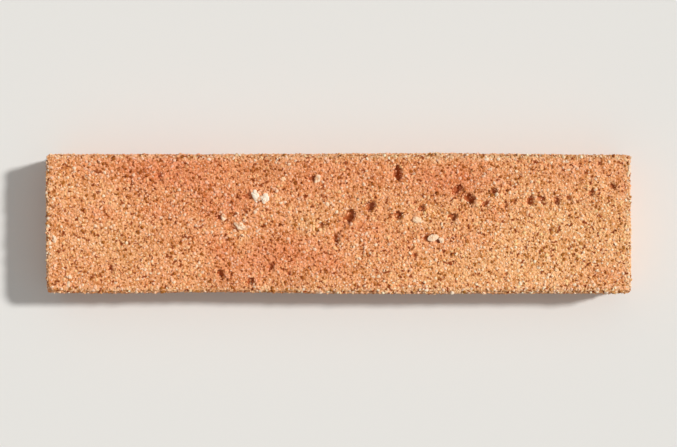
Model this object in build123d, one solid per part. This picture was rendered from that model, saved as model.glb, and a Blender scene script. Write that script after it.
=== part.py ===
from build123d import *
from math import atan2, degrees
import os

# Brick slip: one thin facing piece of fired clay, sawn off the face of a whole brick.
# It lies on its sawn back with its sanded face up. X runs along its length, Y runs up
# its face as it is laid in a wall, and Z runs from the back to the face. The origin is
# the centre of the sawn back. All sizes are in millimetres.

# Overall size
LENGTH = 210.0
FACE_HEIGHT = 51.0
THICKNESS = 20.0

# Rounding that the mould and the kiln leave, and the burr that the saw leaves
CORNER_RADIUS = 1.6
FACE_ARRIS_RADIUS = 0.9
SAWN_ARRIS_CHAMFER = 0.3

# How far each arris of the face falls short of the overall size, at evenly spaced
# places: along the long arrises from the left end, up the short ones from the bottom
TOP_SHORTFALL = (0.35, 0.45, 0.4, 0.15, 0.0, 0.4, 0.6)
BOTTOM_SHORTFALL = (0.55, 0.35, 0.7, 0.1, 0.0, 0.05, 0.2)
LEFT_SHORTFALL = (0.35, 0.1, 0.0, 0.25)
RIGHT_SHORTFALL = (0.3, 0.0, 0.2, 0.15)

# How far the sawn back's outline stands inside the overall size, all round
BACK_INSET = 0.3

# Mouth of a crumbled hollow as shares of its length and width. Fired clay breaks in flat
# facets, so the outline has corners. The floor is a share of the mouth: pits are steep,
# and worn hollows are shallow dishes
CRUMB_OUTLINE = ((-0.5, 0.05), (-0.24, 0.5), (0.2, 0.4), (0.5, -0.05), (0.16, -0.5), (-0.3, -0.4))
PIT_FLOOR = 0.62
WORN_FLOOR = 0.3

# Creases where folds of the clay met: each is a run of shallow troughs along a bent
# line, whose points are shares of the half length and the half height
CREASE_WIDTH = 2.8
CREASE_DEPTH = 0.5
CREASE_OVERLAP = 1.25
LONG_CREASE = (
    (0.39, 0.54),
    (0.45, 0.34),
    (0.54, 0.27),
    (0.68, 0.34),
    (0.80, 0.36),
    (0.89, 0.47),
    (0.96, 0.55),
)
SHORT_CREASE = (
    (-0.02, -0.26),
    (0.03, 0.12),
    (0.11, 0.26),
    (0.20, 0.12),
    (0.29, 0.22),
    (0.39, 0.08),
)

# Pits where sand and crumbs of clay pulled out: place as shares of the half length and
# half height, then length, width, depth and slant in degrees
PITS = (
    (0.200, 0.71, 6.8, 3.4, 1.8, 100),
    (0.036, 0.10, 7.0, 3.8, 2.0, 65),
    (0.108, 0.24, 5.2, 3.8, 1.9, 50),
    (0.205, 0.12, 4.4, 3.4, 1.6, 20),
    (0.282, 0.22, 3.0, 2.6, 1.3, 70),
    (0.386, 0.09, 4.4, 3.2, 1.5, 40),
    (0.402, 0.48, 5.4, 3.4, 1.8, 60),
    (0.447, 0.35, 5.6, 4.0, 2.1, 150),
    (0.498, 0.29, 3.6, 2.6, 1.4, 10),
    (0.528, 0.46, 3.4, 2.4, 1.3, 30),
    (0.566, 0.26, 2.8, 2.2, 1.1, 110),
    (0.600, 0.31, 2.8, 2.2, 1.2, 60),
    (0.652, 0.33, 4.4, 3.2, 1.7, 80),
    (0.690, 0.35, 3.4, 2.4, 1.4, 0),
    (0.740, 0.32, 3.8, 2.8, 1.5, 120),
    (0.780, 0.36, 2.8, 2.2, 1.1, 45),
    (0.860, 0.44, 4.0, 2.4, 1.3, 75),
    (0.932, 0.53, 4.2, 2.2, 1.3, 140),
    (-0.010, -0.20, 4.6, 2.2, 1.3, 110),
    (-0.062, -0.03, 2.8, 2.2, 1.1, 45),
    (-0.403, -0.70, 4.2, 2.8, 1.5, 120),
    (-0.300, -0.81, 3.8, 2.8, 1.5, 15),
    (-0.230, -0.60, 3.0, 2.4, 1.2, 80),
    (-0.775, -0.62, 2.8, 2.4, 1.2, 0),
    (-0.610, 0.68, 2.8, 2.4, 1.2, 30),
)

# Chips out of the long arrises of the face: place along the half length, the arris that
# lost it, length and bite. Those of the right end have a place up the half height
CHIP_SPREAD = 2.6
LONG_ARRIS_CHIPS = (
    (-0.93, 1, 3.6, 0.7),
    (-0.42, 1, 4.4, 0.6),
    (0.15, 1, 5.0, 0.5),
    (0.72, 1, 3.8, 0.6),
    (-0.78, -1, 4.0, 0.6),
    (-0.12, -1, 5.4, 0.7),
    (0.48, -1, 3.4, 0.5),
    (0.90, -1, 4.6, 0.6),
)
RIGHT_ARRIS_CHIPS = (
    (0.83, 3.4, 0.9),
    (0.44, 6.0, 0.8),
    (-0.35, 3.0, 0.5),
)

# Chip that cuts the lower left corner of the face off at 45 degrees
CORNER_CHIP_LENGTH = 7.0
CORNER_CHIP_WIDTH = 5.2
CORNER_CHIP_DEPTH = 2.4

HALF_LENGTH = LENGTH / 2
HALF_HEIGHT = FACE_HEIGHT / 2


def arris_points(start, end, inward, shortfalls):
    """Evenly spaced points of one wandering arris, each moved inward by its shortfall."""
    last = len(shortfalls) - 1
    return [start + (end - start) * (place / last) + inward * shortfall
            for place, shortfall in enumerate(shortfalls)]


def outline(level, top, bottom, left, right):
    """Face bounded by four wandering arrises at a level, given as their shortfalls."""
    west = -HALF_LENGTH
    east = HALF_LENGTH
    south = -HALF_HEIGHT
    north = HALF_HEIGHT
    sides = [
        arris_points(Vector(west + left[0], south), Vector(east - right[0], south),
                     Vector(0, 1), bottom),
        arris_points(Vector(east, south + bottom[-1]), Vector(east, north - top[-1]),
                     Vector(-1, 0), right),
        arris_points(Vector(east - right[-1], north), Vector(west + left[-1], north),
                     Vector(0, -1), top[::-1]),
        arris_points(Vector(west, north - top[0]), Vector(west, south + bottom[0]),
                     Vector(1, 0), left[::-1]),
    ]
    edges = [Spline(*side) for side in sides]
    return Pos(0, 0, level) * make_face(edges)


def blank():
    """The slip before its marks: sawn back outline lofted to the face's outline."""
    straight = [[BACK_INSET] * len(side) for side in
                (TOP_SHORTFALL, BOTTOM_SHORTFALL, LEFT_SHORTFALL, RIGHT_SHORTFALL)]
    back = outline(0, *straight)
    face = outline(THICKNESS, TOP_SHORTFALL, BOTTOM_SHORTFALL, LEFT_SHORTFALL, RIGHT_SHORTFALL)
    body = loft([back, face], ruled=True)
    upright = [edge for edge in body.edges()
               if edge.bounding_box().size.Z > THICKNESS / 2]
    body = fillet(upright, CORNER_RADIUS)
    body = fillet(body.faces().sort_by(Axis.Z)[-1].edges(), FACE_ARRIS_RADIUS)
    return chamfer(body.faces().sort_by(Axis.Z)[0].edges(), SAWN_ARRIS_CHAMFER)


def crumb(level, length, width, share):
    """Face of a crumbled hollow's outline at a level, at a share of its mouth's size."""
    corners = [(along * length * share, across * width * share)
               for along, across in CRUMB_OUTLINE]
    return Pos(0, 0, level) * make_face(Polyline(*corners, close=True))


def hollow(length, width, depth, floor_share):
    """Cutter for a faceted hollow: its mouth is at level 0 and it widens above that."""
    floor = crumb(-depth, length, width, floor_share)
    top = crumb(depth, length, width, 2 - floor_share)
    return loft([floor, top], ruled=True)


def crease(points):
    """Troughs from each point of a bent line to the next, overlapping at the bends."""
    places = [Vector(along * HALF_LENGTH, up * HALF_HEIGHT, THICKNESS) for along, up in points]
    troughs = []
    for start, end in zip(places, places[1:]):
        run = end - start
        slant = degrees(atan2(run.Y, run.X))
        trough = hollow(run.length * CREASE_OVERLAP, CREASE_WIDTH, CREASE_DEPTH, WORN_FLOOR)
        troughs.append(Location((start + end) / 2, (0, 0, slant)) * trough)
    return troughs


def marks():
    """Everything that is cut out of the face and its arrises."""
    cuts = crease(LONG_CREASE) + crease(SHORT_CREASE)
    for along, up, length, width, depth, slant in PITS:
        place = Location((along * HALF_LENGTH, up * HALF_HEIGHT, THICKNESS), (0, 0, slant))
        cuts.append(place * hollow(length, width, depth, PIT_FLOOR))
    for along, side, length, bite in LONG_ARRIS_CHIPS:
        place = Location((along * HALF_LENGTH, side * HALF_HEIGHT, THICKNESS))
        cuts.append(place * hollow(length, CHIP_SPREAD * bite, bite, WORN_FLOOR))
    for up, length, bite in RIGHT_ARRIS_CHIPS:
        place = Location((HALF_LENGTH, up * HALF_HEIGHT, THICKNESS), (0, 0, 90))
        cuts.append(place * hollow(length, CHIP_SPREAD * bite, bite, WORN_FLOOR))
    corner = Location((-HALF_LENGTH, -HALF_HEIGHT, THICKNESS), (0, 0, -45))
    cuts.append(corner * hollow(CORNER_CHIP_LENGTH, CORNER_CHIP_WIDTH, CORNER_CHIP_DEPTH, PIT_FLOOR))
    return cuts


slip = blank()
for mark in marks():
    slip -= mark

os.makedirs("parts", exist_ok=True)
export_step(slip, "parts/brick_slip.step")
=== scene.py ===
"""Looks of a sand-faced terracotta brick slip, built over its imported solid.

The slip lies on its sawn back with its sanded face up. The clay takes the shape of the
solid and adds its fired relief. The sand, the crumbs along the creases and the pale grit
are pieces of their own that sit in it. Sizes are in metres, in the frame of the solid,
unless a class says otherwise.
"""

import logging
import math
from dataclasses import dataclass
from enum import Enum
from typing import Any

import bmesh
import bpy
import numpy as np
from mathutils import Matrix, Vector
from mathutils.bvhtree import BVHTree


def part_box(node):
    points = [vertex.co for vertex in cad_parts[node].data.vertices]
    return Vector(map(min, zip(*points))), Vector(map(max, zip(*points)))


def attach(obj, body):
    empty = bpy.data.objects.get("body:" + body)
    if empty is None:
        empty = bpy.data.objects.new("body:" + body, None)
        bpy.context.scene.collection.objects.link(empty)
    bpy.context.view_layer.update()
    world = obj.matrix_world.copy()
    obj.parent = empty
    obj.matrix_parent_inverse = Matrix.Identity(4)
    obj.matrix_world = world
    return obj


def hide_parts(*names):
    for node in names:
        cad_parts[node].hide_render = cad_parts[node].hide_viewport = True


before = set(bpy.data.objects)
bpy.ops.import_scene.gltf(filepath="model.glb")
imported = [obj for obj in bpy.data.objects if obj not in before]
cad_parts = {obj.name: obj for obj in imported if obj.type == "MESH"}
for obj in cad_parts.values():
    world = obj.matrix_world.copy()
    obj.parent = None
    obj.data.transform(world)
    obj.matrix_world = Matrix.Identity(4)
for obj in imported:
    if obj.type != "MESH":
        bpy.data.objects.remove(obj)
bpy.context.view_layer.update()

LOG = logging.getLogger("brick_slip")
MM = 0.001
SAND_BED = 0.45 * MM  # how far the clay lies inside the solid, which leaves room for sand
MATT = 0.2  # specular level of every finish
SOLID = "brick_slip"
BODY = "root"
BAKE_MAP = "OFBake"
TINT = "tint"
STAIN = "stain"

Colour = tuple[float, float, float, float]
Socket = bpy.types.NodeSocket
Feeds = dict[Any, Any]


class Mark(Enum):
    """Attributes of the clay's mesh, each of which says how much of something lies where."""

    HOLLOW = "hollow"
    NEAR_HOLLOW = "near_hollow"
    RIM = "rim"
    ARRIS = "arris"
    SOCKET = "socket"
    LOST = "lost"
    SAWN = "sawn"
    FACE_SAND = "face_sand"
    SIDE_SAND = "side_sand"
    CRUMBS = "crumbs"


class Grain(Enum):
    """Shape of a strewn grain.

    Each value holds how finely the ball that it is worn from is divided, and the slope and
    the start of the wear that noise gives it.
    """

    ANGULAR = (1, 1.7, 0.15)
    ROUNDED = (2, 2.6, -0.3)


class Draw(Enum):
    """Random draws of a strewn grain, each with a number that tells it from the others."""

    SHAPE = 11
    TINT = 12
    SIZE = 13
    STRETCH = 14
    TURN = 15


class Sort(Enum):
    """Sort of the grains that are strewn, which gives them their colours."""

    FINE = "fine_sand"
    COARSE = "coarse_sand"
    CRUMBS = "clay_crumbs"


@dataclass(frozen=True)
class SlipSize:
    """Overall size of the slip."""

    length: float
    height: float
    thickness: float

    @classmethod
    def from_frame(cls) -> "SlipSize":
        """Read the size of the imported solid."""
        low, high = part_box(SOLID)
        return cls(high.x - low.x, high.y - low.y, high.z - low.z)

    def shares(self, places: np.ndarray) -> np.ndarray:
        """Return places as shares of the slip's size, from 0 to 1 along each axis."""
        shares = places / [self.length, self.height, self.thickness]
        return np.clip(shares + [0.5, 0.5, 0.0], 0, 1)


def linear(red: int, green: int, blue: int) -> Colour:
    """Turn a colour as it shows on a screen into Blender's linear values, by the sRGB curve.

    Args:
        red: Red, from 0 to 255.
        green: Green, from 0 to 255.
        blue: Blue, from 0 to 255.

    Returns:
        The colour, opaque.
    """
    shares = [value / 255 for value in (red, green, blue)]
    parts = [share / 12.92 if share <= 0.04045 else ((share + 0.055) / 1.055) ** 2.4
             for share in shares]
    return (parts[0], parts[1], parts[2], 1.0)


# Nodes


@dataclass(frozen=True)
class NodeBench:
    """Adds nodes to one tree, and feeds their sockets with links or plain values."""

    tree: bpy.types.NodeTree

    def add(self, kind: str, feeds: Feeds | None = None, **settings: Any) -> bpy.types.Node:
        """Add a node.

        Args:
            kind: Blender's name of the node's type.
            feeds: A socket or a value for each input, by the input's name or number.
            settings: Properties of the node itself.

        Returns:
            The new node.
        """
        node = self.tree.nodes.new(kind)
        for name, value in settings.items():
            setattr(node, name, value)
        for key, value in (feeds or {}).items():
            self.feed(node, key, value)
        return node

    def feed(self, node: bpy.types.Node, key: Any, value: Any) -> None:
        """Give an input a link or a value of its own.

        Args:
            node: The node.
            key: The input's name or number.
            value: A socket to link from, or a plain value.
        """
        if isinstance(value, bpy.types.NodeSocket):
            self.tree.links.new(value, node.inputs[key])
        else:
            node.inputs[key].default_value = value

    def group(self, tree: bpy.types.NodeTree, feeds: dict[str, Any]) -> bpy.types.Node:
        """Place a shader node group.

        Args:
            tree: The group.
            feeds: A socket or a value for each of its inputs, by name.

        Returns:
            The group's node.
        """
        return self.add("ShaderNodeGroup", feeds, node_tree=tree)

    def math(self, operation: str, *numbers: Any) -> Socket:
        """Return the result of an operation on up to three numbers or sockets."""
        feeds = dict(enumerate(numbers))
        return self.add("ShaderNodeMath", feeds, operation=operation).outputs[0]

    def vector(self, operation: str, *vectors: Any) -> Socket:
        """Return the vector that an operation on vectors gives."""
        feeds = dict(enumerate(vectors))
        return self.add("ShaderNodeVectorMath", feeds, operation=operation).outputs["Vector"]

    def scaled(self, vector: Any, factor: Any) -> Socket:
        """Return a vector times a number."""
        feeds = {"Vector": vector, "Scale": factor}
        return self.add("ShaderNodeVectorMath", feeds, operation="SCALE").outputs["Vector"]

    def length(self, vector: Any) -> Socket:
        """Return the length of a vector."""
        return self.add("ShaderNodeVectorMath", {0: vector}, operation="LENGTH").outputs["Value"]

    def ramp(self, value: Any, low: Any, high: Any, start: Any = 0.0, end: Any = 1.0) -> Socket:
        """Take a value from one span to another, with soft ends.

        Args:
            value: The value.
            low: Where it starts to change the result.
            high: Where it stops.
            start: The result up to low.
            end: The result from high.

        Returns:
            The result.
        """
        feeds = {"Value": value, "From Min": low, "From Max": high, "To Min": start, "To Max": end}
        return self.add("ShaderNodeMapRange", feeds, interpolation_type="SMOOTHSTEP").outputs[0]

    def noise(self, place: Any, size: Any, seed: Any, detail: float = 2.0) -> Socket:
        """Return a noise about 0.5.

        Args:
            place: The place that it is asked for.
            size: Size of its features.
            seed: Number that tells one noise from another.
            detail: How many finer noises are added.

        Returns:
            The noise's value.
        """
        scale = self.math("DIVIDE", 1.0, size)
        feeds = {"Vector": place, "W": seed, "Scale": scale, "Detail": detail}
        return self.add("ShaderNodeTexNoise", feeds, noise_dimensions="4D").outputs[0]

    def lean(self, place: Any, scale: Any, detail: float) -> Socket:
        """Return a noise that leans every way.

        Args:
            place: The place that it is asked for.
            scale: How many of its features fit into a metre.
            detail: How many finer noises are added.

        Returns:
            The lean, from -0.5 to 0.5 along each axis.
        """
        feeds = {"Vector": place, "Scale": scale, "Detail": detail}
        noise = self.add("ShaderNodeTexNoise", feeds).outputs["Color"]
        return self.vector("SUBTRACT", noise, (0.5, 0.5, 0.5))

    def cells(self, place: Any, size: Any) -> tuple[Socket, Socket]:
        """Divide space into cells about random points.

        Args:
            place: The place that is asked for.
            size: Size of the cells.

        Returns:
            The distance to the cell's point as a share of the size, and the cell's colour.
        """
        feeds = {"Vector": place, "Scale": self.math("DIVIDE", 1.0, size)}
        node = self.add("ShaderNodeTexVoronoi", feeds)
        return node.outputs["Distance"], node.outputs["Color"]

    def shades(self) -> bool:
        """Return whether the tree is one of a material, and not of a shape."""
        return self.tree.bl_idname == "ShaderNodeTree"

    def parts(self, colour: Any) -> Any:
        """Return a colour's red, green and blue as sockets."""
        kind = "ShaderNodeSeparateColor" if self.shades() else "FunctionNodeSeparateColor"
        return self.add(kind, {0: colour}).outputs

    def mixed(self, factor: Any, first: Any, second: Any, blend: str = "MIX") -> Socket:
        """Mix two colours.

        Args:
            factor: Share of the second colour.
            first: The first colour.
            second: The second colour.
            blend: Blender's name of the way they are mixed.

        Returns:
            The mixed colour.
        """
        # The node's inputs 6 and 7 and its output 2 are those for colours
        feeds = {0: factor, 6: first, 7: second}
        return self.add("ShaderNodeMix", feeds, data_type="RGBA", blend_type=blend).outputs[2]

    def stops(self, value: Any, colours: dict[float, Colour]) -> Socket:
        """Go through a row of colours.

        Args:
            value: Where in the row, from 0 to 1.
            colours: The colours by their places in the row.

        Returns:
            The colour there.
        """
        node = self.add("ShaderNodeValToRGB", {"Fac": value})
        elements = node.color_ramp.elements
        while len(elements) < len(colours):
            elements.new(1.0)
        for element, (position, colour) in zip(elements, sorted(colours.items())):
            element.position = position
            element.color = colour
        return node.outputs["Color"]

    def attribute(self, name: Any) -> Socket:
        """Read a number that a mesh carries, in a material or in a geometry tree.

        Args:
            name: The attribute's name, or in a geometry tree a socket that gives it.

        Returns:
            Its value.
        """
        if self.shades():
            return self.add("ShaderNodeAttribute", attribute_name=name).outputs["Fac"]
        node = self.add("GeometryNodeInputNamedAttribute", {"Name": name}, data_type="FLOAT")
        return node.outputs["Attribute"]

    def mark(self, mark: Mark) -> Socket:
        """Read one of the clay's marks."""
        return self.attribute(mark.value)

    def stored(self, shape: Socket, name: str, value: Socket, domain: str) -> Socket:
        """Store a number on a shape.

        Args:
            shape: The geometry.
            name: The attribute's name.
            value: The number.
            domain: Blender's name of what carries it.

        Returns:
            The geometry with the attribute.
        """
        feeds = {"Geometry": shape, "Name": name, "Value": value}
        settings = {"data_type": "FLOAT", "domain": domain}
        return self.add("GeometryNodeStoreNamedAttribute", feeds, **settings).outputs[0]

    def roughen(self, shader: bpy.types.Node, height: Socket, distance: float) -> None:
        """Bump the surface that a shader shows.

        Args:
            shader: The shader.
            height: The surface's height, from about 0 to 1.
            distance: What a height of 1 stands for.
        """
        bump = self.add("ShaderNodeBump", {"Height": height, "Distance": distance})
        self.feed(shader, "Normal", bump.outputs["Normal"])


def new_group(kind: str, name: str, inputs: dict[str, Any], outputs: dict[str, str]) -> NodeBench:
    """Start a node group.

    Args:
        kind: "ShaderNodeTree" or "GeometryNodeTree".
        name: The group's name.
        inputs: Socket type and first value of each input, by name.
        outputs: Socket type of each output, by name.

    Returns:
        A bench on the new tree.
    """
    tree = bpy.data.node_groups.new(name, kind)
    for label, (socket_type, value) in inputs.items():
        socket = tree.interface.new_socket(name=label, in_out="INPUT", socket_type=socket_type)
        if value is not None:
            socket.default_value = value
    for label, socket_type in outputs.items():
        tree.interface.new_socket(name=label, in_out="OUTPUT", socket_type=socket_type)
    tree.nodes.new("NodeGroupInput")
    tree.nodes.new("NodeGroupOutput")
    return NodeBench(tree)


def ends(bench: NodeBench) -> tuple[Any, bpy.types.Node]:
    """Return the sockets of a group's inputs, and the node of its outputs."""
    return bench.tree.nodes["Group Input"].outputs, bench.tree.nodes["Group Output"]


def new_material(name: str) -> tuple[bpy.types.Material, NodeBench, bpy.types.Node]:
    """Start a matt material.

    Args:
        name: The material's name.

    Returns:
        The material, a bench on its nodes, and its Principled BSDF.
    """
    material = bpy.data.materials.new(name)
    material.use_nodes = True
    shader = material.node_tree.nodes["Principled BSDF"]
    shader.inputs["Specular IOR Level"].default_value = MATT
    return material, NodeBench(material.node_tree), shader


def applied_nodes(host: bpy.types.Object, tree: bpy.types.NodeTree,
                  values: Feeds) -> bpy.types.Mesh:
    """Run a geometry tree on an object.

    Args:
        host: The object. It is left without the modifier.
        tree: The tree.
        values: The tree's inputs, by name.

    Returns:
        The result, as a plain mesh.
    """
    modifier = host.modifiers.new(tree.name, "NODES")
    modifier.node_group = tree
    for item in tree.interface.items_tree:
        if item.in_out == "INPUT" and item.name in values:
            modifier[item.identifier] = values[item.name]
    bpy.context.view_layer.update()
    evaluated = host.evaluated_get(bpy.context.evaluated_depsgraph_get())
    mesh = bpy.data.meshes.new_from_object(evaluated)
    host.modifiers.remove(modifier)
    return mesh


# Effects that the finishes share


@dataclass(frozen=True)
class Smudge:
    """A soft patch of redder clay, or paler where its strength is negative.

    Its place on the face and its reach are in millimetres.
    """

    x: float
    y: float
    reach_x: float
    reach_y: float
    strength: float


@dataclass(frozen=True)
class KilnTone:
    """Drift of the fired clay between tan and red, browner in places, with dark flecks that are
    partly iron and partly painted shade.

    Attributes:
        size: The slip's overall size, for the paler band along its arrises.
        tan: Colour of the clay where the kiln left it palest.
        red: Colour where it fired reddest.
        brown: Colour of the dull stains.
        bleach: Colour that the rubbed arrises pale to.
        fleck_and_shade: Colour of the dark flecks, partly iron in the clay and partly painted
            shade of small hollows.
        fleck_size: Size of the flecks.
        fleck_noise: Noise at which a fleck starts to show, and at which it shows in full.
        fleck_depths: Depths below the face at which the flecks are faint, and at which full.
        side_flecks: How strong the flecks are on the sides, as a share of the face's.
        cloud_size: Size of the slow drift.
        cloud_scale: The drift's scale along each axis, which draws it out along the slip.
        cloud_strength: How far the drift goes.
        level: Redness about which it drifts, from 0 for tan to 1 for red.
        dull_size: Size of the dull places that all of the clay has.
        dull_noise: Noise at which they start to show, and at which they show in full.
        dullness: Share of brown in them.
        bleach_reach: Width of the band along the arrises.
        bleach_shift: How far its inner edge moves in and out.
        bleach_grain: Distance from one such move to the next.
        bleach_drop: How far the band reaches down the sides.
        bleach_and_highlight: How pale the band is at the slip's left end and at its right end,
            where
        the extra paleness is painted highlight from the light on the right.
        wobble: How far the edges of the patches move, as a share of their reach.
        wobble_size: Distance from one such move to the next.
        patch_fade: Where a patch starts to fade and where it ends, as shares of its reach.
        smudges: The redder and the paler patches.
        stains: The browner patches.
    """

    size: SlipSize
    tan: Colour = linear(253, 196, 144)
    red: Colour = linear(243, 161, 116)
    brown: Colour = linear(196, 124, 78)
    bleach: Colour = linear(241, 204, 166)
    fleck_and_shade: Colour = linear(164, 84, 42)
    fleck_size: float = 1.05 * MM
    fleck_noise: tuple[float, float] = (0.57, 0.68)
    fleck_depths: tuple[float, float] = (4 * MM, 1 * MM)
    side_flecks: float = 0.35
    cloud_size: float = 20 * MM
    cloud_scale: tuple[float, float, float] = (0.55, 1.0, 1.0)
    cloud_strength: float = 0.6
    level: float = 0.45
    dull_size: float = 7 * MM
    dull_noise: tuple[float, float] = (0.5, 0.8)
    dullness: float = 0.2
    bleach_reach: float = 4.0 * MM
    bleach_shift: float = 4.0 * MM
    bleach_grain: float = 3.0 * MM
    bleach_drop: float = 2.5 * MM
    bleach_and_highlight: tuple[float, float] = (0.7, 1.0)
    wobble: float = 0.9
    wobble_size: float = 9 * MM
    patch_fade: tuple[float, float] = (0.4, 1.5)
    smudges: tuple[Smudge, ...] = (
        Smudge(-62, 19, 38, 14, 0.5),
        Smudge(-62, 5, 14, 5, 0.25),
        Smudge(-84, 4, 8, 6, 0.25),
        Smudge(-44, 5, 20, 13, 0.35),
        Smudge(-44, -7, 12, 7, 0.4),
        Smudge(-36, -14, 18, 12, 0.35),
        Smudge(-18, -11, 18, 13, 0.4),
        Smudge(-3, -14, 8, 7, 0.25),
        Smudge(8, -1, 14, 6, 0.2),
        Smudge(2, 18, 60, 12, 0.2),
        Smudge(42, 16, 20, 10, 0.35),
        Smudge(57, 3, 7, 6, 0.3),
        Smudge(95, -17, 9, 5, 0.3),
        Smudge(-98, 13, 10, 9, -0.15),
        Smudge(82, -7, 40, 22, -0.7),
        Smudge(91, 13, 12, 7, -0.3),
        Smudge(-78, -9, 22, 12, -0.25),
        Smudge(-12, 0, 9, 6, -0.25),
        Smudge(32, 2, 16, 8, -0.25),
        Smudge(46, -16, 44, 12, -0.35),
    )
    stains: tuple[Smudge, ...] = (
        Smudge(-22, 20, 10, 6, 0.3),
        Smudge(-42, -20, 11, 5, 0.25),
        Smudge(-14, -21, 12, 5, 0.25),
        Smudge(-74, -8, 14, 8, 0.12),
        Smudge(33, 10, 9, 6, 0.15),
    )

    def tree(self) -> bpy.types.NodeTree:
        """Build the shader group that gives the clay's colour at a place.

        Returns:
            The group.
        """
        inputs = {"Place": ("NodeSocketVector", None)}
        bench = new_group("ShaderNodeTree", "kiln_tone", inputs, {"Color": "NodeSocketColor"})
        source, result = ends(bench)
        place = source["Place"]
        drawn_out = bench.vector("MULTIPLY", place, self.cloud_scale)
        noise = bench.noise(drawn_out, self.cloud_size, seed=0.0, detail=4.0)
        cloud = bench.math("SUBTRACT", noise, 0.5)
        redness = bench.math("MULTIPLY_ADD", cloud, self.cloud_strength, self.level)
        noise = bench.noise(place, self.wobble_size, seed=3.0, detail=4.0)
        wobble = bench.math("MULTIPLY", noise, self.wobble)
        for smudge in self.smudges:
            redness = bench.math("ADD", redness, self.patch(bench, place, wobble, smudge))
        colour = bench.mixed(bench.ramp(redness, 0.0, 1.0), self.tan, self.red)
        noise = bench.noise(place, self.dull_size, seed=12.0, detail=3.0)
        browned = bench.ramp(noise, *self.dull_noise, 0.0, self.dullness)
        for stain in self.stains:
            browned = bench.math("ADD", browned, self.patch(bench, place, wobble, stain))
        colour = bench.mixed(browned, colour, self.brown)
        colour = bench.mixed(self.rubbed(bench, place), colour, self.bleach)
        # Dark flecks: partly iron in the clay, partly painted shade of small hollows
        colour = bench.mixed(self.flecks_and_shade(bench, place), colour, self.fleck_and_shade)
        bench.feed(result, "Color", colour)
        return bench.tree

    def patch(self, bench: NodeBench, place: Socket, wobble: Socket, smudge: Smudge) -> Socket:
        """Add one patch's nodes.

        Args:
            bench: The group's bench.
            place: The place that the group is asked for.
            wobble: What makes the patch's edge uneven.
            smudge: The patch.

        Returns:
            What the patch adds at the place.
        """
        middle = (smudge.x * MM, smudge.y * MM, 0.0)
        reach = (1 / (smudge.reach_x * MM), 1 / (smudge.reach_y * MM), 0.0)
        away = bench.vector("MULTIPLY", bench.vector("SUBTRACT", place, middle), reach)
        edge = bench.math("ADD", bench.length(away), wobble)
        return bench.ramp(edge, *self.patch_fade, smudge.strength, 0.0)

    def rubbed(self, bench: NodeBench, place: Socket) -> Socket:
        """Add the nodes of the band along the arrises that handling rubbed pale, paler toward the
        right end as painted highlight.

        Args:
            bench: The group's bench.
            place: The place that the group is asked for.

        Returns:
            Share of the bleached colour at the place.
        """
        half = (self.size.length / 2, self.size.height / 2, 0.0)
        inward = bench.vector("SUBTRACT", half, bench.vector("ABSOLUTE", place))
        across = bench.add("ShaderNodeSeparateXYZ", {0: inward}).outputs
        to_arris = bench.math("MINIMUM", across[0], across[1])
        noise = bench.noise(place, self.bleach_grain, seed=7.0, detail=3.0)
        uneven = bench.math("MULTIPLY_ADD", noise, self.bleach_shift, to_arris)
        along, _, height = bench.add("ShaderNodeSeparateXYZ", {0: place}).outputs
        # Paler toward the right end: painted highlight where the light from the right catches the
        # arris
        strength = bench.ramp(along, -half[0], half[0], *self.bleach_and_highlight)
        start = self.bleach_shift / 2
        band = bench.ramp(uneven, start, start + self.bleach_reach, strength, 0.0)
        top = self.size.thickness
        return bench.math("MULTIPLY", band, bench.ramp(height, top - self.bleach_drop, top))

    def flecks_and_shade(self, bench: NodeBench, place: Socket) -> Socket:
        """Add the nodes of the dark flecks, partly iron in the clay and partly painted shade of
        small hollows, which are fainter on the sides.

        Args:
            bench: The group's bench.
            place: The place that the group is asked for.

        Returns:
            Share of the flecks' colour at the place.
        """
        height = bench.add("ShaderNodeSeparateXYZ", {0: place}).outputs[2]
        faint, full = (self.size.thickness - depth for depth in self.fleck_depths)
        strength = bench.ramp(height, faint, full, self.side_flecks, 1.0)
        noise = bench.noise(place, self.fleck_size, seed=6.0, detail=1.0)
        return bench.math("MULTIPLY", bench.ramp(noise, *self.fleck_noise), strength)


@dataclass(frozen=True)
class GrainSpeckle:
    """Cells the size of a sand grain, each with a value of its own.

    Attributes:
        cell: Size of the cells.
        dust_size: Size of the dust on them, as a share of theirs.
        dust_share: Share of the dust in a cell's value.
        dust_height: Height of the dust, as a share of a cell's.
    """

    cell: float = 0.75 * MM
    dust_size: float = 0.5
    dust_share: float = 0.35
    dust_height: float = 0.5

    def tree(self) -> bpy.types.NodeTree:
        """Build the shader group that gives a cell's value and its domed height.

        Returns:
            The group.
        """
        inputs = {"Place": ("NodeSocketVector", None), "Cell": ("NodeSocketFloat", self.cell)}
        outputs = {"Value": "NodeSocketFloat", "Height": "NodeSocketFloat"}
        bench = new_group("ShaderNodeTree", "grain_speckle", inputs, outputs)
        source, result = ends(bench)
        distance, colour = bench.cells(source["Place"], source["Cell"])
        size = bench.math("MULTIPLY", source["Cell"], self.dust_size)
        dust = bench.noise(source["Place"], size, seed=5.0, detail=3.0)
        own = bench.math("MULTIPLY", bench.parts(colour)[0], 1 - self.dust_share)
        bench.feed(result, "Value", bench.math("MULTIPLY_ADD", dust, self.dust_share, own))
        dome = bench.math("SUBTRACT", 1.0, distance)
        bench.feed(result, "Height", bench.math("MULTIPLY_ADD", dust, self.dust_height, dome))
        return bench.tree


@dataclass(frozen=True)
class Palette:
    """The shader groups that the finishes share."""

    tone: bpy.types.NodeTree
    speckle: bpy.types.NodeTree

    @classmethod
    def mixed(cls, size: SlipSize) -> "Palette":
        """Build the groups for a slip of a size."""
        return cls(KilnTone(size).tree(), GrainSpeckle().tree())


# Finishes


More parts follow.
